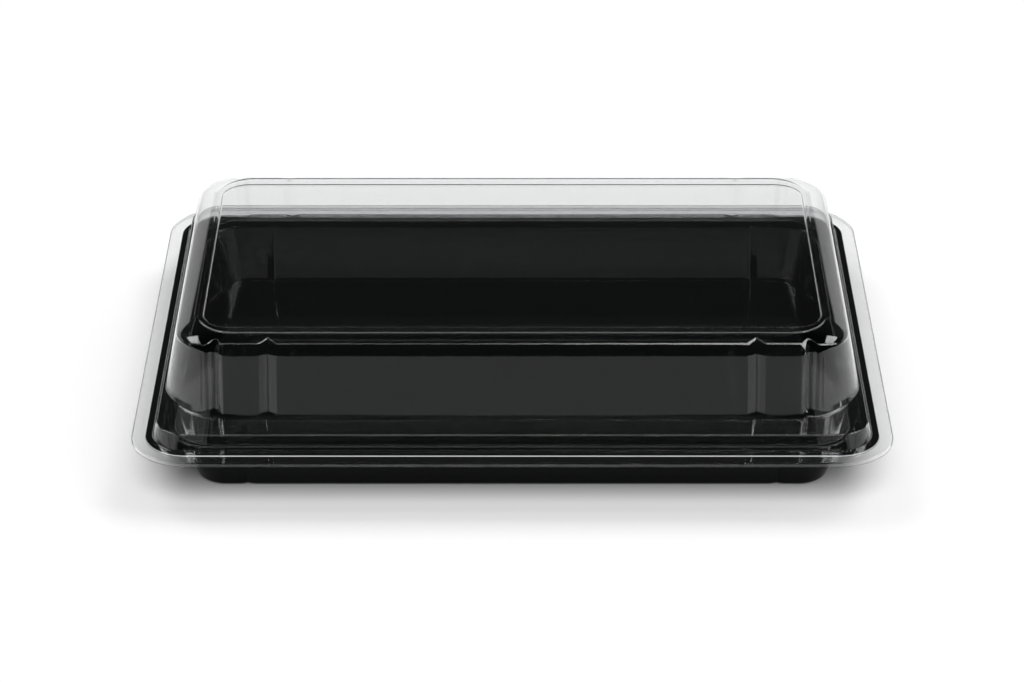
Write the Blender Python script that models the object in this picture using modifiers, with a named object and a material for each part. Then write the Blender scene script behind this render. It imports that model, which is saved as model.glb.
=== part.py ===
"""Empty takeaway sushi tray: a black thermoformed base under its clear lift-off lid.

Metres, +Z up.  X runs along the tray, Y across it, and the origin is the middle of
the underside.  Each piece is one sheet, drawn as a stack of rounded-rectangle
sections from its outer edge inwards and then given its thickness.
"""
import math
from collections import namedtuple

import bmesh
import bpy

# Overall plan of the lid's outer edge, which is the outline of the whole thing
LENGTH = 0.2600
DEPTH = 0.1950
CORNER = 0.0205

# Sheet thicknesses
LID_SHEET = 0.0004
TRAY_SHEET = 0.0005

# Heights above the table
FLANGE_Z = 0.0212
PLATEAU_Z = 0.0268
WALL_TOP_Z = 0.0469
TOP_Z = 0.0513

# Lid: flange with a turned-down lip, and the riser that locates it over the tray's
# bead.  The riser stands a little nearer the edge at the ends than along the sides.
LIP_DROP = 0.0012
LIP_ROUND = 0.0022
RISER_INSET = 0.0080
RISER_RUN = 0.0009
RISER_FOOT = 0.0004
PLATEAU_EDGE = 0.0095
RISER_END_SHIFT = 0.0007

# Lid: dome, with wider shoulders along the long sides than at the ends
BASE_END = 0.0098
BASE_LONG = 0.0200
BASE_CORNER = 0.0268
BASE_FILLET = 0.0010
WALL_END = 0.0136
WALL_LONG = 0.0282
WALL_CORNER = 0.0270
TOP_END = 0.0172
TOP_LONG = 0.0387
TOP_CORNER = 0.0061
PANEL_END = 0.0217
PANEL_LONG = 0.0413
PANEL_CORNER = 0.0060
PANEL_RUN = 0.0006
PANEL_SINK = 0.0008
SHOULDER_SHARES = (0.15, 0.38, 0.66, 1.0)
SHOULDER_FULLNESS = 1.3

# Lid: upright grooves in the long walls, which leave a post near each corner, each
# by its middle along X, half its width and its depth
LID_GROOVES = ((0.0832, 0.0030, 0.0014), (0.1012, 0.0030, 0.0016))

# Tray: flat rim, clear of the lid's underside by CLEARANCE, with a low bead
CLEARANCE = 0.0004
RIM_END = 0.0046
RIM_LONG = 0.0065
RIM_CORNER = 0.0150
BEAD_INSET = 0.0103
BEAD_RUN = 0.0004
BEAD_WIDTH = 0.0016
BEAD_RISE = 0.0005

# Tray: well, whose plain wall leans in and turns tighter towards its foot, and an
# upright groove near each corner
WALL_TOP = 0.0144
WALL_TOP_TURN = 0.0010
WALL_SLOPE = 0.377
TRAY_CORNER = 0.0149
CORNER_CLOSING = 0.276
FLOOR_TURN = 0.0020
TRAY_GROOVES = ((0.0910, 0.0026, 0.0012),)

# Steps in each quarter corner
CORNER_STEPS = 10

Section = namedtuple("Section", "end long corner z groove")


def clear_scene():
    """Start from an empty scene."""
    for thing in list(bpy.data.objects):
        bpy.data.objects.remove(thing, do_unlink=True)


def make_material(name, color, roughness, transmission=0.0):
    """A plain plastic for one piece."""
    material = bpy.data.materials.new(name)
    material.use_nodes = True
    shader = material.node_tree.nodes["Principled BSDF"]
    shader.inputs["Base Color"].default_value = (*color, 1.0)
    shader.inputs["Roughness"].default_value = roughness
    shader.inputs["Metallic"].default_value = 0.0
    shader.inputs["Transmission Weight"].default_value = transmission
    return material


def quarter_points(section, grooves):
    """Points of the +X -Y quarter of one section, from the groove nearest the
    middle round to where the corner meets the end."""
    half_x = LENGTH / 2 - section.end
    half_y = DEPTH / 2 - section.long
    stations = []
    for middle, half_width, depth in grooves:
        for across in (-1.0, -0.5, 0.0, 0.5, 1.0):
            dent = depth * section.groove * 0.5 * (1.0 + math.cos(math.pi * across))
            stations.append((middle + half_width * across, dent))
    last = stations[-1][0]
    for step in range(1, CORNER_STEPS + 1):
        turn = math.radians(90.0) * step / CORNER_STEPS
        stations.append((last + (half_x - last) * math.sin(turn), 0.0))
    points = []
    for x, dent in stations:
        into_corner = max(0.0, x - (half_x - section.corner))
        rise = section.corner - math.sqrt(max(0.0, section.corner ** 2 - into_corner ** 2))
        points.append((x, -half_y + rise + dent))
    return points


def ring_points(section, grooves):
    """One whole section, anticlockwise seen from above, from the front's middle."""
    quarter = quarter_points(section, grooves)
    back = quarter[::-1]
    points = [(x, y) for x, y in quarter]
    points += [(x, -y) for x, y in back]
    points += [(-x, -y) for x, y in quarter]
    points += [(-x, y) for x, y in back]
    return points


def loft(name, sections, grooves):
    """An open sheet through the sections, closed by a flat face at the last one."""
    shape = bmesh.new()
    rings = []
    for section in sections:
        ring = [shape.verts.new((x, y, section.z)) for x, y in ring_points(section, grooves)]
        rings.append(ring)
    count = len(rings[0])
    for outer, inner in zip(rings, rings[1:]):
        for i in range(count):
            j = (i + 1) % count
            shape.faces.new((outer[i], outer[j], inner[j], inner[i]))
    shape.faces.new(rings[-1])
    mesh = bpy.data.meshes.new(name)
    shape.to_mesh(mesh)
    shape.free()
    return mesh


def make_sheet(name, sections, grooves, thickness, material, collection):
    """A piece of formed sheet, whose thickness lies behind the drawn face."""
    mesh = loft(name, sections, grooves)
    mesh.shade_smooth()
    mesh.set_sharp_from_angle(angle=math.radians(50.0))
    mesh.materials.append(material)
    piece = bpy.data.objects.new(name, mesh)
    collection.objects.link(piece)
    solidify = piece.modifiers.new("Sheet", "SOLIDIFY")
    solidify.thickness = thickness
    solidify.offset = -1.0
    solidify.use_even_offset = True
    return piece


def even(inset, z, corner=None, groove=0.0):
    """A section with the same inset all round, parallel to the outer edge
    unless it has a corner radius of its own."""
    return Section(inset, inset, CORNER - inset if corner is None else corner, z, groove)


def riser(inset, z):
    """A section of the lid's riser, by its inset along the long sides."""
    return Section(inset - RISER_END_SHIFT, inset, CORNER - inset, z, 0.0)


def lid_sections():
    """The lid's outer face, from the lip up and over to the sunk top panel."""
    eighth = 1.0 - math.sin(math.radians(45.0))
    shoulder_rise = TOP_Z - WALL_TOP_Z
    sections = [
        even(0.0, FLANGE_Z - LIP_DROP),
        even(LIP_ROUND * eighth, FLANGE_Z - LIP_DROP * eighth),
        even(LIP_ROUND, FLANGE_Z),
        riser(RISER_INSET, FLANGE_Z),
        riser(RISER_INSET + RISER_FOOT, FLANGE_Z + RISER_FOOT),
        riser(PLATEAU_EDGE - RISER_FOOT, PLATEAU_Z - RISER_RUN),
        riser(PLATEAU_EDGE, PLATEAU_Z),
        Section(BASE_END, BASE_LONG, BASE_CORNER, PLATEAU_Z, 0.0),
        Section(BASE_END + BASE_FILLET / 2, BASE_LONG + BASE_FILLET / 2, BASE_CORNER,
                PLATEAU_Z + BASE_FILLET, 0.8),
        Section(WALL_END, WALL_LONG, WALL_CORNER, WALL_TOP_Z, 1.0),
    ]
    for share in SHOULDER_SHARES:
        rise = math.sin(math.radians(90.0) * share) ** SHOULDER_FULLNESS
        sections.append(Section(
            WALL_END + (TOP_END - WALL_END) * share,
            WALL_LONG + (TOP_LONG - WALL_LONG) * share,
            WALL_CORNER + (TOP_CORNER - WALL_CORNER) * share,
            WALL_TOP_Z + shoulder_rise * rise,
            1.0 - share))
    sections.append(Section(PANEL_END, PANEL_LONG, PANEL_CORNER, TOP_Z, 0.0))
    sections.append(Section(PANEL_END + PANEL_RUN, PANEL_LONG + PANEL_RUN,
                            PANEL_CORNER - PANEL_RUN, TOP_Z - PANEL_SINK, 0.0))
    return sections


def tray_sections():
    """The tray's upper face, from the rim over the bead and down to the floor."""
    rim_z = FLANGE_Z - LID_SHEET - CLEARANCE
    bead_z = rim_z + BEAD_RISE
    bead_head = BEAD_INSET + BEAD_RUN
    bead_back = bead_head + BEAD_WIDTH
    lean = math.atan(WALL_SLOPE)
    wall_foot = WALL_TOP + WALL_SLOPE * (rim_z - TRAY_SHEET)
    foot_corner = TRAY_CORNER - CORNER_CLOSING * (rim_z - TRAY_SHEET)
    # Reach of each rounding along the flat and along the leaning wall
    half_turn = math.tan((math.radians(90.0) - lean) / 2)
    top_reach = WALL_TOP_TURN * half_turn
    floor_reach = FLOOR_TURN * half_turn
    # Middle of the rounding at the foot, between its centre and the sharp corner
    to_centre = math.hypot(floor_reach, FLOOR_TURN)
    middle_share = 1.0 - FLOOR_TURN / to_centre
    foot_start = wall_foot - floor_reach * math.sin(lean)
    return [
        Section(RIM_END, RIM_LONG, RIM_CORNER, rim_z, 0.0),
        even(BEAD_INSET, rim_z),
        even(bead_head, bead_z),
        even(bead_back, bead_z, TRAY_CORNER),
        even(bead_back + BEAD_RUN, rim_z, TRAY_CORNER),
        even(WALL_TOP - top_reach, rim_z, TRAY_CORNER),
        even(WALL_TOP + top_reach * math.sin(lean), rim_z - top_reach * math.cos(lean),
             TRAY_CORNER, 1.0),
        even(foot_start, TRAY_SHEET + floor_reach * math.cos(lean),
             foot_corner + CORNER_CLOSING * floor_reach, 1.0),
        even(wall_foot + floor_reach * middle_share, TRAY_SHEET + FLOOR_TURN * middle_share,
             foot_corner, 0.6),
        even(wall_foot + floor_reach, TRAY_SHEET, foot_corner - floor_reach),
    ]


def build():
    """Make the two pieces in their collection."""
    clear_scene()
    collection = bpy.data.collections.new("takeaway_sushi_tray")
    bpy.context.scene.collection.children.link(collection)
    black = make_material("black_plastic", (0.012, 0.013, 0.014), 0.14)
    clear = make_material("clear_plastic", (0.96, 0.98, 0.98), 0.03, transmission=1.0)
    make_sheet("tray", tray_sections(), TRAY_GROOVES, TRAY_SHEET, black, collection)
    make_sheet("lid", lid_sections(), LID_GROOVES, LID_SHEET, clear, collection)


build()
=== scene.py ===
"""The looks of the empty takeaway sushi tray: a glossy black base under its clear lid.

Metres, +Z up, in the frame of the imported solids.  Each piece is one sheet, formed by
the same Geometry Nodes tree from a profile of rounded-rectangle sections.
"""

import math
from collections import namedtuple

import bpy
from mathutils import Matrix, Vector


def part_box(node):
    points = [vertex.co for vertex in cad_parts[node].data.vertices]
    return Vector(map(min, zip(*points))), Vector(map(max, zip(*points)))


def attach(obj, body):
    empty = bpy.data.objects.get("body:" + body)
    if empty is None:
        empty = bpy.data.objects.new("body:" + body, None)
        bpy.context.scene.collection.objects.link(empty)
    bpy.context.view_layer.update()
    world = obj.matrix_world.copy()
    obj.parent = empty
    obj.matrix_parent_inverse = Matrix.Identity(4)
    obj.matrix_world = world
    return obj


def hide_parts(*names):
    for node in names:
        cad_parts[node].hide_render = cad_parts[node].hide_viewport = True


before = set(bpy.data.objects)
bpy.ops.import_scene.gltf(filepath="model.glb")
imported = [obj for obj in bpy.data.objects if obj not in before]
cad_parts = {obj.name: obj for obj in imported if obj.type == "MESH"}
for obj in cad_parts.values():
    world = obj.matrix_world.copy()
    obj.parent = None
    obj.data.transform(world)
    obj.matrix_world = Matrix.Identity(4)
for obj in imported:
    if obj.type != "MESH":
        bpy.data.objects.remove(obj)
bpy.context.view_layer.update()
tray_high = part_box("tray")[1]
lid_low, lid_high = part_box("lid")

# How far a line round the plan stands in from the lid's outer edge at the ends and along
# the long sides, and its corner radius
Line = namedtuple("Line", "end long corner")
# One section of a sheet: such a line, its height, the share of the grooves' depth that it
# has, and how far its own edge is rounded either way along the profile
Section = namedtuple("Section", (*Line._fields, "z", "groove", "rounding"))
# An upright groove: its middle along X, half its width and its depth
Groove = namedtuple("Groove", "middle half_width depth")

# Overall sizes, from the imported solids
LENGTH = lid_high.x - lid_low.x
DEPTH = lid_high.y - lid_low.y
LIP_Z = lid_low.z
TOP_Z = lid_high.z

# Sheet thicknesses
LID_SHEET = 0.0004
TRAY_SHEET = 0.0005

# Heights above the table
FLANGE_Z = 0.0212
PLATEAU_Z = 0.0268
FILLET_Z = PLATEAU_Z + 0.0018
WALL_TOP_Z = 0.0469
BROW_Z = 0.0498
BORDER_Z = TOP_Z - 0.0002
PANEL_Z = TOP_Z - 0.0006

# Lid: corner radius of its outer edge, the lip that turns down there, and the riser,
# which stands a little nearer the edge at the ends than along the sides
CORNER = 0.0205
LIP_INSET = 0.0001
RISER_FOOT = 0.0080
RISER_HEAD = 0.0095
RISER_END_SHIFT = 0.0007

# Lid: the dome's lines, from its foot up to the ridge and in to the sunk panel
DOME_FOOT = Line(0.0098, 0.0200, 0.0264)
FILLET_HEAD = Line(0.0102, 0.0209, 0.0266)
WALL_HEAD = Line(0.0138, 0.0283, 0.0187)
BROW = Line(0.0151, 0.0319, 0.0085)
RIDGE = Line(0.0218, 0.0367, 0.0130)
BORDER_OUTER = Line(0.0224, 0.0376, 0.0126)
BORDER_INNER = Line(0.0234, 0.0414, 0.0097)
PANEL_EDGE = Line(0.0237, 0.0417, 0.0094)
PANEL_MIDDLE = Line(0.0310, 0.0495, 0.0070)

# Lid: share of the grooves' depth left at the brow, and how far edges are rounded
BROW_GROOVE = 0.7
LIP_ROUNDING = 0.0008
RISER_ROUNDING = 0.0005
BORDER_ROUNDING = 0.0003
CRISP_ROUNDING = 0.0002
PANEL_ROUNDING = 0.00015

# Tray: flat rim with rounded edge, and the low bead on it, by its outer foot and head
# and its inner head and foot
RIM_Z = 0.0204
RIM_DROP = 0.0005
RIM_RUN = 0.0001
RIM_EDGE = Line(lid_high.x - tray_high.x, 0.0061, 0.0150)
RIM_ROUNDING = 0.0004
BEAD_Z = RIM_Z + 0.0001
BEAD_INSETS = (0.0102, 0.0107, 0.0122, 0.0127)

# Tray: top edge of the well's wall, how the wall leans in going down, and how its
# corners close; then the turn into the floor, and the floor's last drawn line
WELL_TOP = 0.0144
WELL_CORNER = 0.0149
WALL_LEAN = 0.377
CORNER_CLOSING = 0.276
WELL_ROUNDING = 0.0008
FLOOR_ROUNDING = 0.0014
FLOOR_GROOVE = 0.6
FLOOR_INSET = 0.0300
FLOOR_CORNER = 0.0060

# Grooves in the long walls near each corner.  The tray has one, so its second is flat.
LID_GROOVES = (Groove(0.0832, 0.0033, 0.0019), Groove(0.1014, 0.0032, 0.0020))
TRAY_GROOVES = (Groove(0.0910, 0.0026, 0.0012), Groove(0.0910, 0.0026, 0.0))

# Groove A is a crease with a finer notch at its bottom, this share of its half width
NOTCH_WIDTH = 0.16
NOTCH_SHARE = 0.2
CREASE_SHARE = 0.8
# How far into a corner, as a share of its radius, the grooves may reach
GROOVE_REACH = 0.5

# Points along the straight front, through the grooves, round a corner and up the end
FRONT_STEPS = 2
GROOVE_STEPS = 56
CORNER_STEPS = 24
END_STEPS = 2
# Sections round one edge of the profile, and up the dome's shoulder
ROUNDING_STEPS = 6
SHOULDER_STEPS = 14
# An edge's rounding takes up less than half of the stretch beside it
ROUNDING_LIMIT = 0.49

# Points closer together than this are one point, and edges that turn by more are sharp
WELD = 0.000002
SHARP_ANGLE = 45.0

# Camera: where it stands, its angle above level, its lens and its film width
CAMERA_PLACE = (-0.0001, -1.1055, 0.6121)
CAMERA_ELEVATION = 28.36
LENS = 122.16
FILM_WIDTH = 36.0

# Floor: half its size, its height just under the tray, and its tone
FLOOR_HALF = 6.0
FLOOR_Z = -0.0001
FLOOR_TONE = 0.80
FLOOR_ROUGHNESS = 0.9

# Light passes through many faces of clear sheet before it is given up
BOUNCES = 24


# ---------------------------------------------------------------- node arithmetic

class Wire:
    """One output socket; arithmetic on it adds Math nodes to its tree."""

    def __init__(self, socket):
        self.socket = socket
        self.tree = socket.id_data

    def math(self, operation, *others):
        """One Math node with this socket as its first value."""
        values = dict(enumerate((self, *others)))
        return add_node(self.tree, "ShaderNodeMath", {"operation": operation}, values)

    def flipped(self, operation, other):
        """One Math node with this socket as its second value."""
        return add_node(self.tree, "ShaderNodeMath", {"operation": operation},
                        {0: other, 1: self})

    def __add__(self, other):
        return self.math("ADD", other)

    __radd__ = __add__

    def __sub__(self, other):
        return self.math("SUBTRACT", other)

    def __rsub__(self, other):
        return self.flipped("SUBTRACT", other)

    def __mul__(self, other):
        return self.math("MULTIPLY", other)

    __rmul__ = __mul__

    def __truediv__(self, other):
        return self.math("DIVIDE", other)

    def __rtruediv__(self, other):
        return self.flipped("DIVIDE", other)

    def __gt__(self, other):
        return self.math("GREATER_THAN", other)

    def __lt__(self, other):
        return self.math("LESS_THAN", other)

    def clamped(self):
        """The value held between 0 and 1."""
        return self.math("MAXIMUM", 0.0).math("MINIMUM", 1.0)

    def eased(self, low, high):
        """0 below low, 1 above high, and a smooth rise between."""
        return add_node(self.tree, "ShaderNodeMapRange", {"interpolation_type": "SMOOTHSTEP"},
                        {"Value": self, "From Min": low, "From Max": high})


def add_node(tree, kind, settings=None, inputs=None, output=0):
    """Add one node, set it up, feed its sockets, and return one of its outputs."""
    node = tree.nodes.new(kind)
    for name, value in (settings or {}).items():
        setattr(node, name, value)
    for name, value in (inputs or {}).items():
        feed(node.inputs[name], value)
    return Wire(node.outputs[output])


def feed(socket, value):
    """Link a Wire to a socket, or set the socket's own value."""
    if isinstance(value, Wire):
        socket.id_data.links.new(value.socket, socket)
    else:
        socket.default_value = value


def split(tree, vector):
    """The three parts of a vector."""
    parts = tree.nodes.new("ShaderNodeSeparateXYZ")
    feed(parts.inputs[0], vector)
    return [Wire(output) for output in parts.outputs]


# ---------------------------------------------------------------- profiles

def at(line, z, rounding=0.0, groove=0.0):
    """A section on a line of its own."""
    return Section(*line, z, groove, rounding)


def even(inset, z, rounding=0.0, corner=None, groove=0.0):
    """A section with the same inset all round, parallel to the outer edge
    unless it has a corner radius of its own."""
    radius = CORNER - inset if corner is None else corner
    return at(Line(inset, inset, radius), z, rounding, groove)


def blend(one, other, share):
    """The section that lies the given share of the way from one to the other."""
    return Section(*(a + (b - a) * share for a, b in zip(one, other)))


def rounded_profile(sections):
    """The sections, with the edge at each inner one drawn as a curve."""
    stations = [sections[0]]
    for before, here, after in zip(sections, sections[1:], sections[2:]):
        if not here.rounding:
            stations.append(here)
            continue
        way_in = math.hypot(here.long - before.long, here.z - before.z)
        way_out = math.hypot(after.long - here.long, after.z - here.z)
        start = blend(here, before, min(ROUNDING_LIMIT, here.rounding / way_in))
        finish = blend(here, after, min(ROUNDING_LIMIT, here.rounding / way_out))
        for step in range(ROUNDING_STEPS + 1):
            share = step / ROUNDING_STEPS
            stations.append(blend(blend(start, here, share), blend(here, finish, share), share))
    stations.append(sections[-1])
    return stations


def riser(inset, z):
    """A section of the lid's riser, by its inset along the long sides."""
    return at(Line(inset - RISER_END_SHIFT, inset, CORNER - inset), z, RISER_ROUNDING)


def shoulder(start, brow, finish):
    """The dome's shoulder, which bends from its wall past its brow to its flat top."""
    sections = []
    for step in range(1, SHOULDER_STEPS):
        share = step / SHOULDER_STEPS
        bend = blend(blend(start, brow, share), blend(brow, finish, share), share)
        sections.append(bend._replace(rounding=0.0))
    return sections


def lid_profile():
    """The lid's outer face: lip, flange, riser, plateau, dome and sunk panel."""
    wall_head = at(WALL_HEAD, WALL_TOP_Z, CRISP_ROUNDING, 1.0)
    brow = at(BROW, BROW_Z, 0.0, BROW_GROOVE)
    ridge = at(RIDGE, TOP_Z, CRISP_ROUNDING)
    return [
        even(0.0, LIP_Z),
        even(LIP_INSET, FLANGE_Z, LIP_ROUNDING),
        riser(RISER_FOOT, FLANGE_Z),
        riser(RISER_HEAD, PLATEAU_Z),
        at(DOME_FOOT, PLATEAU_Z, RISER_ROUNDING),
        at(FILLET_HEAD, FILLET_Z, BORDER_ROUNDING, 1.0),
        wall_head,
        *shoulder(wall_head, brow, ridge),
        ridge,
        at(BORDER_OUTER, BORDER_Z, BORDER_ROUNDING),
        at(BORDER_INNER, BORDER_Z, PANEL_ROUNDING),
        at(PANEL_EDGE, PANEL_Z, PANEL_ROUNDING),
        at(PANEL_MIDDLE, PANEL_Z),
    ]


def well_wall(z, rounding=0.0, groove=1.0):
    """A section of the tray's wall, which leans in and turns tighter going down."""
    drop = RIM_Z - z
    return even(WELL_TOP + WALL_LEAN * drop, z, rounding,
                WELL_CORNER - CORNER_CLOSING * drop, groove)


def tray_profile():
    """The tray's upper face: rim with its low bead, leaning wall and floor."""
    rim = RIM_EDGE._replace(end=RIM_EDGE.end + RIM_RUN, long=RIM_EDGE.long + RIM_RUN)
    outer_foot, outer_head, inner_head, inner_foot = BEAD_INSETS
    return [
        at(RIM_EDGE, RIM_Z - RIM_DROP),
        at(rim, RIM_Z, RIM_ROUNDING),
        even(outer_foot, RIM_Z, CRISP_ROUNDING),
        even(outer_head, BEAD_Z, CRISP_ROUNDING),
        even(inner_head, BEAD_Z, CRISP_ROUNDING, WELL_CORNER),
        even(inner_foot, RIM_Z, CRISP_ROUNDING, WELL_CORNER),
        even(WELL_TOP, RIM_Z, WELL_ROUNDING, WELL_CORNER, 1.0),
        well_wall(TRAY_SHEET, FLOOR_ROUNDING, FLOOR_GROOVE),
        even(FLOOR_INSET, TRAY_SHEET, 0.0, FLOOR_CORNER),
    ]


# ---------------------------------------------------------------- the formed sheet

def sheet_tree():
    """A Geometry Nodes tree that forms one sheet from its profile's points.

    Each point of the profile carries the numbers of one section.  The tree lays a grid
    of them round the plan, dents it at the grooves, and closes the last ring."""
    tree = bpy.data.node_groups.new("formed_sheet", "GeometryNodeTree")
    floats = ("Length", "Depth", "Groove A Middle", "Groove A Half Width", "Groove A Depth",
              "Groove B Middle", "Groove B Half Width", "Groove B Depth")
    counts = ("Front Steps", "Groove Steps", "Corner Steps", "End Steps")
    interface = tree.interface
    interface.new_socket("Profile", in_out="INPUT", socket_type="NodeSocketGeometry")
    for name in floats:
        interface.new_socket(name, in_out="INPUT", socket_type="NodeSocketFloat")
    for name in counts:
        interface.new_socket(name, in_out="INPUT", socket_type="NodeSocketInt")
    interface.new_socket("Plastic", in_out="INPUT", socket_type="NodeSocketMaterial")
    interface.new_socket("Sheet", in_out="OUTPUT", socket_type="NodeSocketGeometry")
    inputs = tree.nodes.new("NodeGroupInput").outputs
    given = {name: Wire(inputs[name]) for name in ("Profile", "Plastic", *floats, *counts)}

    def node(kind, settings=None, inputs=None, output=0):
        return add_node(tree, kind, settings, inputs, output)

    # The grid: one column for each place round the plan, one row for each section
    quarter = sum((given[name] for name in counts[1:]), given["Front Steps"])
    rows = node("GeometryNodeAttributeDomainSize", {"component": "MESH"},
                {"Geometry": given["Profile"]}, "Point Count")
    grid = node("GeometryNodeMeshGrid", None,
                {"Vertices X": quarter * 4.0 + 1.0, "Vertices Y": rows})
    index = node("GeometryNodeInputIndex")
    column = ((index + 0.5) / rows).math("FLOOR")
    row = index - column * rows

    def section(name):
        """A number of this row's section."""
        value = node("GeometryNodeInputNamedAttribute", {"data_type": "FLOAT"}, {"Name": name})
        return node("GeometryNodeSampleIndex", {"data_type": "FLOAT", "domain": "POINT"},
                    {"Geometry": given["Profile"], "Value": value, "Index": row})

    half_x = given["Length"] * 0.5 - section("end")
    half_y = given["Depth"] * 0.5 - section("long")
    radius = section("corner")

    # Where the column lies in its quarter, counted from the middle of a long side
    turn = ((column + 0.5) / quarter).math("FLOOR")
    along = column - turn * quarter
    odd = turn.math("MODULO", 2.0)
    along = along + odd * (quarter - along * 2.0)
    side_x = 1.0 - (turn > 1.5) * 2.0
    side_y = (turn > 0.5) * (turn < 2.5) * 2.0 - 1.0

    # Its place along X: up to the grooves, through them, and round the corner, all
    # drawn in a little where the section is too short for the grooves
    first = given["Groove A Middle"] - given["Groove A Half Width"]
    last = given["Groove B Middle"] + given["Groove B Half Width"]
    fit = ((half_x - radius * GROOVE_REACH) / last).math("MINIMUM", 1.0)
    first = first * fit
    last = last * fit
    groove_start = given["Front Steps"]
    corner_start = groove_start + given["Groove Steps"]
    end_start = corner_start + given["Corner Steps"]
    before = (along / given["Front Steps"]).clamped()
    within = ((along - groove_start) / given["Groove Steps"]).clamped()
    bend = ((along - corner_start) / given["Corner Steps"]).clamped()
    beyond = ((along - end_start) / given["End Steps"]).clamped()
    swing = (bend * (math.pi / 2.0)).math("SINE")
    x = first * before + (last - first) * within + (half_x - last) * swing

    # Its place along Y: on the long side, on the corner's arc, or on the end
    into_corner = (x - (half_x - radius)).math("MAXIMUM", 0.0)
    level = (radius * radius - into_corner * into_corner).math("MAXIMUM", 0.0).math("SQRT")
    y = (half_y - radius + level) * (1.0 - beyond)
    across = {name: ((x - given[name + " Middle"]) / given[name + " Half Width"])
              .math("ABSOLUTE").math("MINIMUM", 1.0) for name in ("Groove A", "Groove B")}
    notch = (1.0 - across["Groove A"] / NOTCH_WIDTH).math("MAXIMUM", 0.0)
    crease = given["Groove A Depth"] \
        * ((1.0 - across["Groove A"]) * CREASE_SHARE + notch * NOTCH_SHARE)
    hollow = given["Groove B Depth"] \
        * ((across["Groove B"] * math.pi).math("COSINE") + 1.0) * 0.5
    dent = crease + hollow
    y = y - dent * section("groove")
    place = node("ShaderNodeCombineXYZ", None,
                 {"X": x * side_x, "Y": y * side_y, "Z": section("z")})
    formed = node("GeometryNodeSetPosition", None, {"Geometry": grid, "Position": place})

    # The seam is welded, and a flat face is laid over the last ring and welded on
    marked = node("GeometryNodeStoreNamedAttribute", {"data_type": "FLOAT", "domain": "POINT"},
                  {"Geometry": formed, "Name": "last_ring", "Value": row > (rows - 1.5)})
    tube = node("GeometryNodeMergeByDistance", None, {"Geometry": marked, "Distance": WELD})
    on_last = node("GeometryNodeInputNamedAttribute", {"data_type": "FLOAT"},
                   {"Name": "last_ring"}) > 0.99
    ring = node("GeometryNodeMeshToCurve", None, {"Mesh": tube, "Selection": on_last})
    closing = node("GeometryNodeFillCurve", {"mode": "NGONS"}, {"Curve": ring})
    height = node("GeometryNodeSampleIndex", {"data_type": "FLOAT", "domain": "POINT"},
                  {"Geometry": given["Profile"], "Index": rows - 1.0,
                   "Value": node("GeometryNodeInputNamedAttribute", {"data_type": "FLOAT"},
                                 {"Name": "z"})})
    lift = node("ShaderNodeCombineXYZ", None, {"Z": height})
    closing = node("GeometryNodeSetPosition", None, {"Geometry": closing, "Offset": lift})
    joined = tree.nodes.new("GeometryNodeJoinGeometry")
    for part in (closing, tube):
        tree.links.new(part.socket, joined.inputs[0])
    welded = node("GeometryNodeMergeByDistance", None,
                  {"Geometry": Wire(joined.outputs[0]), "Distance": WELD})
    smooth = node("GeometryNodeSetShadeSmooth", None, {"Geometry": welded})
    realized = node("GeometryNodeRealizeInstances", None, {"Geometry": smooth})
    finished = node("GeometryNodeSetMaterial", None,
                    {"Geometry": realized, "Material": given["Plastic"]})
    tree.links.new(finished.socket, tree.nodes.new("NodeGroupOutput").inputs["Sheet"])
    return tree


def profile_object(name, stations):
    """One vertex for each section, which carries the section's numbers."""
    mesh = bpy.data.meshes.new(name)
    mesh.from_pydata([(0.0, station.long, station.z) for station in stations], [], [])
    for field in Section._fields[:-1]:
        attribute = mesh.attributes.new(field, "FLOAT", "POINT")
        attribute.data.foreach_set("value", [getattr(station, field) for station in stations])
    piece = bpy.data.objects.new(name, mesh)
    bpy.context.scene.collection.objects.link(piece)
    return piece


def form_sheet(name, tree, profile, grooves, thickness, plastic):
    """One piece of formed sheet as a plain mesh, with its thickness behind its face."""
    piece = profile_object(name, rounded_profile(profile))
    former = piece.modifiers.new("Former", "NODES")
    former.node_group = tree
    sizes = {"Length": LENGTH, "Depth": DEPTH, "Front Steps": FRONT_STEPS,
             "Groove Steps": GROOVE_STEPS, "Corner Steps": CORNER_STEPS,
             "End Steps": END_STEPS, "Plastic": plastic}
    for letter, groove in zip("AB", grooves):
        sizes[f"Groove {letter} Middle"] = groove.middle
        sizes[f"Groove {letter} Half Width"] = groove.half_width
        sizes[f"Groove {letter} Depth"] = groove.depth
    for item in tree.interface.items_tree:
        if item.in_out == "INPUT" and item.name in sizes:
            former[item.identifier] = sizes[item.name]
    wall = piece.modifiers.new("Sheet", "SOLIDIFY")
    wall.thickness = thickness
    wall.offset = -1.0
    wall.use_even_offset = True
    bpy.context.view_layer.update()
    mesh = bpy.data.meshes.new_from_object(
        piece.evaluated_get(bpy.context.evaluated_depsgraph_get()))
    mesh.name = name
    mesh.set_sharp_from_angle(angle=math.radians(SHARP_ANGLE))
    bpy.data.objects.remove(piece, do_unlink=True)
    sheet = bpy.data.objects.new(name, mesh)
    bpy.context.scene.collection.objects.link(sheet)
    return sheet


# ---------------------------------------------------------------- materials

def new_material(name):
    """A new material and its Principled shader."""
    material = bpy.data.materials.new(name)
    material.use_nodes = True
    return material, material.node_tree.nodes["Principled BSDF"]


def set_constants(shader, constants):
    """Give the shader the values that don't vary over the surface."""
    for name, value in constants.items():
        shader.inputs[name].default_value = value


def noise(tree, place, scale, detail, roughness=0.5):
    """Noise at the given number of waves for each metre."""
    return add_node(tree, "ShaderNodeTexNoise", None, {
        "Vector": place, "Scale": scale, "Detail": detail, "Roughness": roughness})


def roughen(shader, tree, height, strength, distance):
    """Relief too fine for the mesh, from a noise."""
    feed(shader.inputs["Normal"], add_node(tree, "ShaderNodeBump", None, {
        "Height": height, "Strength": strength, "Distance": distance}))


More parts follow.
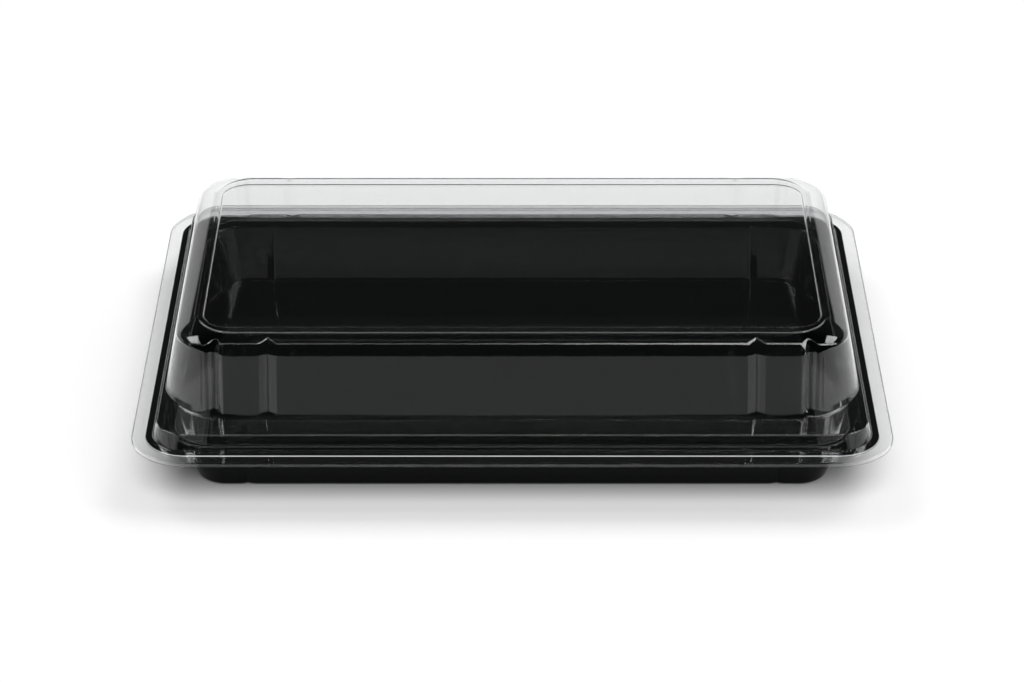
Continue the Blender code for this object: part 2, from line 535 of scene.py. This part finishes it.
def mixed_color(tree, share, one, other):
    """A colour between two, by the given share of the other."""
    return add_node(tree, "ShaderNodeMix", {"data_type": "RGBA"},
                    {"Factor": share, "A": one, "B": other}, output=2)


def clear_plastic():
    """Clear formed sheet: glass-like, with the faint waves that forming leaves."""
    polish = 0.004
    haze_gain = 0.012
    haze_range = (0.35, 0.75)
    material, shader = new_material("clear_plastic")
    tree = material.node_tree
    place = add_node(tree, "ShaderNodeTexCoord", None, None, "Object")
    set_constants(shader, {"Transmission Weight": 1.0, "IOR": 1.40,
                           "Base Color": (0.99, 0.995, 0.995, 1.0)})
    haze = noise(tree, place, scale=60.0, detail=3.0, roughness=0.6)
    feed(shader.inputs["Roughness"], haze.eased(*haze_range) * haze_gain + polish)
    waves = noise(tree, place, scale=18.0, detail=1.0, roughness=0.4)
    roughen(shader, tree, waves, strength=0.15, distance=0.0002)
    return material


def edge_highlight_mask(tree, place):
    """1 on the cut edge of the tray's rim, where a pale highlight is painted, and 0 inside it
    and below.
    """
    outside_range = (-0.0003, -0.0001)
    height_range = (RIM_Z - 0.0004, RIM_Z - 0.0002)
    x, y, z = split(tree, place)
    half_x = LENGTH / 2.0 - RIM_EDGE.end
    half_y = DEPTH / 2.0 - RIM_EDGE.long
    past_x = (x.math("ABSOLUTE") - (half_x - RIM_EDGE.corner)).math("MAXIMUM", 0.0)
    past_y = (y.math("ABSOLUTE") - (half_y - RIM_EDGE.corner)).math("MAXIMUM", 0.0)
    outside = (past_x * past_x + past_y * past_y).math("SQRT") - RIM_EDGE.corner
    return outside.eased(*outside_range) * z.eased(*height_range)


def black_plastic():
    """Glossy black formed sheet with a slight orange-peel skin, a pale highlight painted
    along the cut edge of its rim, and duller there."""
    darker, lighter = (0.0010, 0.0014, 0.0013, 1.0), (0.0020, 0.0026, 0.0024, 1.0)
    # The pale tone is a painted highlight along the rim's cut edge, not the plastic's own colour
    painted_highlight_tone = (0.72, 0.74, 0.74, 1.0)
    polish, uneven_polish, edge_dullness = 0.04, 0.05, 0.4
    upper_gloss = 0.4
    turning_up = (-0.1, 0.1)
    material, shader = new_material("black_plastic")
    tree = material.node_tree
    place = add_node(tree, "ShaderNodeTexCoord", None, None, "Object")
    set_constants(shader, {"Specular IOR Level": 0.08, "Coat Roughness": 0.05, "IOR": 1.45})
    # Where the pale highlight is painted: the rim's cut edge, which is also made duller
    painted_edge_highlight = edge_highlight_mask(tree, place)
    patches = noise(tree, place, scale=35.0, detail=4.0)
    color = mixed_color(tree, patches, darker, lighter)
    feed(shader.inputs["Base Color"], mixed_color(tree, painted_edge_highlight, color, painted_highlight_tone))
    # The upper face is the glossier one
    facing_up = split(tree, add_node(tree, "ShaderNodeNewGeometry", None, None, "Normal"))[2]
    feed(shader.inputs["Coat Weight"], facing_up.eased(*turning_up) * upper_gloss)
    gloss = noise(tree, place, scale=140.0, detail=3.0)
    feed(shader.inputs["Roughness"], gloss * uneven_polish + polish + painted_edge_highlight * edge_dullness)
    skin = noise(tree, place, scale=900.0, detail=2.0)
    roughen(shader, tree, skin, strength=0.03, distance=0.00003)
    return material


def floor_material():
    """Plain pale studio floor."""
    material, shader = new_material("studio_floor")
    set_constants(shader, {"Base Color": (FLOOR_TONE, FLOOR_TONE, FLOOR_TONE, 1.0),
                           "Roughness": FLOOR_ROUGHNESS, "Specular IOR Level": 0.0})
    return material


# ---------------------------------------------------------------- studio

def set_floor():
    """A large floor just under the tray."""
    mesh = bpy.data.meshes.new("studio_floor")
    corners = [(x * FLOOR_HALF, y * FLOOR_HALF, FLOOR_Z)
               for x, y in ((-1, -1), (1, -1), (1, 1), (-1, 1))]
    mesh.from_pydata(corners, [], [(0, 1, 2, 3)])
    mesh.materials.append(floor_material())
    floor = bpy.data.objects.new("studio_floor", mesh)
    bpy.context.scene.collection.objects.link(floor)


def wall_light(turn, height, top_edge):
    """A low wall of light all round: even in front, brighter to either side, with a dark
    gap beside the tray, and bright at the back.  It starts above the floor in front."""
    front_level, side_gain, gap_loss, back_gain = 0.45, 0.45, 0.80, 0.65
    side_start, gap_start, back_start = (36.0, 46.0), (74.0, 80.0), (104.0, 114.0)
    foot_height = 7.0
    foot_descent = (20.0, 45.0)
    blur = 1.0
    level = front_level + turn.eased(*side_start) * side_gain - turn.eased(*gap_start) * gap_loss
    level = level + turn.eased(*back_start) * back_gain
    foot_edge = foot_height - turn.eased(*foot_descent) * foot_height
    wall = (1.0 - (height - top_edge).eased(-blur, blur)) \
        * (height - foot_edge).eased(-blur, blur)
    return wall * level


def strip_light(side, ahead, up, degrees):
    """A narrow strip overhead that runs from side to side, wider and brighter to +X."""
    strip_angle = 97.0
    narrowest, widening = 0.8, 3.0
    widening_range = (0.05, 0.5)
    blur = 0.6
    strip_level, right_gain = 1.5, 5.5
    right_start = (-0.02, 0.05)
    # Angle in the plane of depth and height, 90 straight up
    angle = up.math("ARCTAN2", ahead * -1.0) * degrees
    reach = narrowest + side.eased(*widening_range) * widening
    off_strip = (angle - strip_angle).math("ABSOLUTE").math("SUBTRACT", reach)
    strip = 1.0 - off_strip.eased(-blur, blur)
    return strip * (up > 0.0) * (side.eased(*right_start) * right_gain + strip_level)


def box_light(side, ahead, up):
    """A soft box high in front on each side, placed where it cuts a level plane."""
    box_across, box_ahead = 0.62, 0.55
    side_edge, front_edge = (0.18, 0.22), (0.27, 0.33)
    box_level = 5.0
    off_across = ((side / up).math("ABSOLUTE") - box_across).math("ABSOLUTE")
    off_ahead = (ahead / up - box_ahead).math("ABSOLUTE")
    box = (1.0 - off_across.eased(*side_edge)) * (1.0 - off_ahead.eased(*front_edge)) \
        * (up > 0.0)
    return box * box_level


def set_light():
    """Soft studio light all round, with darkness between its parts, and a fill light."""
    world = bpy.data.worlds.new("studio_light")
    bpy.context.scene.world = world
    world.use_nodes = True
    tree = world.node_tree
    place = add_node(tree, "ShaderNodeTexCoord", None, None, "Generated")
    side, ahead, up = split(tree, place)
    degrees = 180.0 / math.pi
    height = up.math("ARCSINE") * degrees
    # Turn from the front, 0, round to the back, 180
    turn = side.math("ABSOLUTE").math("ARCTAN2", ahead * -1.0) * degrees
    # The wall of light is lower at the back, with a faint haze over it there
    wall_height, back_drop = 24.0, 5.0
    drop_range = (100.0, 150.0)
    haze_start, haze_foot, haze_top = (120.0, 150.0), (0.0, 2.0), (35.0, 55.0)
    haze_level, darkness = 0.02, 0.002
    top_edge = wall_height - turn.eased(*drop_range) * back_drop
    haze = turn.eased(*haze_start) * (height - top_edge).eased(*haze_foot) \
        * (1.0 - height.eased(*haze_top)) * haze_level
    light = wall_light(turn, height, top_edge) + strip_light(side, ahead, up, degrees) \
        + haze + box_light(side, ahead, up) + darkness
    background = tree.nodes["Background"]
    feed(background.inputs["Color"], add_node(tree, "ShaderNodeCombineColor", None, {
        "Red": light, "Green": light, "Blue": light}))
    background.inputs["Strength"].default_value = 1.0
    # A broad fill from high in front, which lights the floor but leaves no highlight
    fill_energy, fill_spread, fill_tilt = 2.9, 50.0, 33.0
    sun = bpy.data.lights.new("front_fill", "SUN")
    sun.energy = fill_energy
    sun.angle = math.radians(fill_spread)
    fill = bpy.data.objects.new("front_fill", sun)
    fill.rotation_euler = (math.radians(fill_tilt), 0.0, 0.0)
    fill.visible_glossy = False
    fill.visible_transmission = False
    bpy.context.scene.collection.objects.link(fill)


def set_camera():
    """The camera, at the height and distance that show the tray from its front."""
    lens = bpy.data.cameras.new("camera")
    lens.lens = LENS
    lens.sensor_width = FILM_WIDTH
    camera = bpy.data.objects.new("camera", lens)
    bpy.context.scene.collection.objects.link(camera)
    camera.location = CAMERA_PLACE
    camera.rotation_euler = (math.radians(90.0 - CAMERA_ELEVATION), 0.0, 0.0)
    bpy.context.scene.camera = camera


# ---------------------------------------------------------------- build

former_tree = sheet_tree()
tray = form_sheet("tray_black_base", former_tree, tray_profile(), TRAY_GROOVES, TRAY_SHEET,
                  black_plastic())
lid = form_sheet("lid_clear_dome", former_tree, lid_profile(), LID_GROOVES, LID_SHEET,
                 clear_plastic())
# The clear lid casts no shadow of its own
lid.visible_shadow = False
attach(tray, "root")
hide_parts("tray")
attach(lid, "root")
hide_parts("lid")

set_floor()
set_light()
set_camera()
scene = bpy.context.scene
scene.view_settings.view_transform = "Standard"
scene.cycles.caustics_reflective = False
scene.cycles.caustics_refractive = False
scene.cycles.max_bounces = BOUNCES
scene.cycles.transmission_bounces = BOUNCES
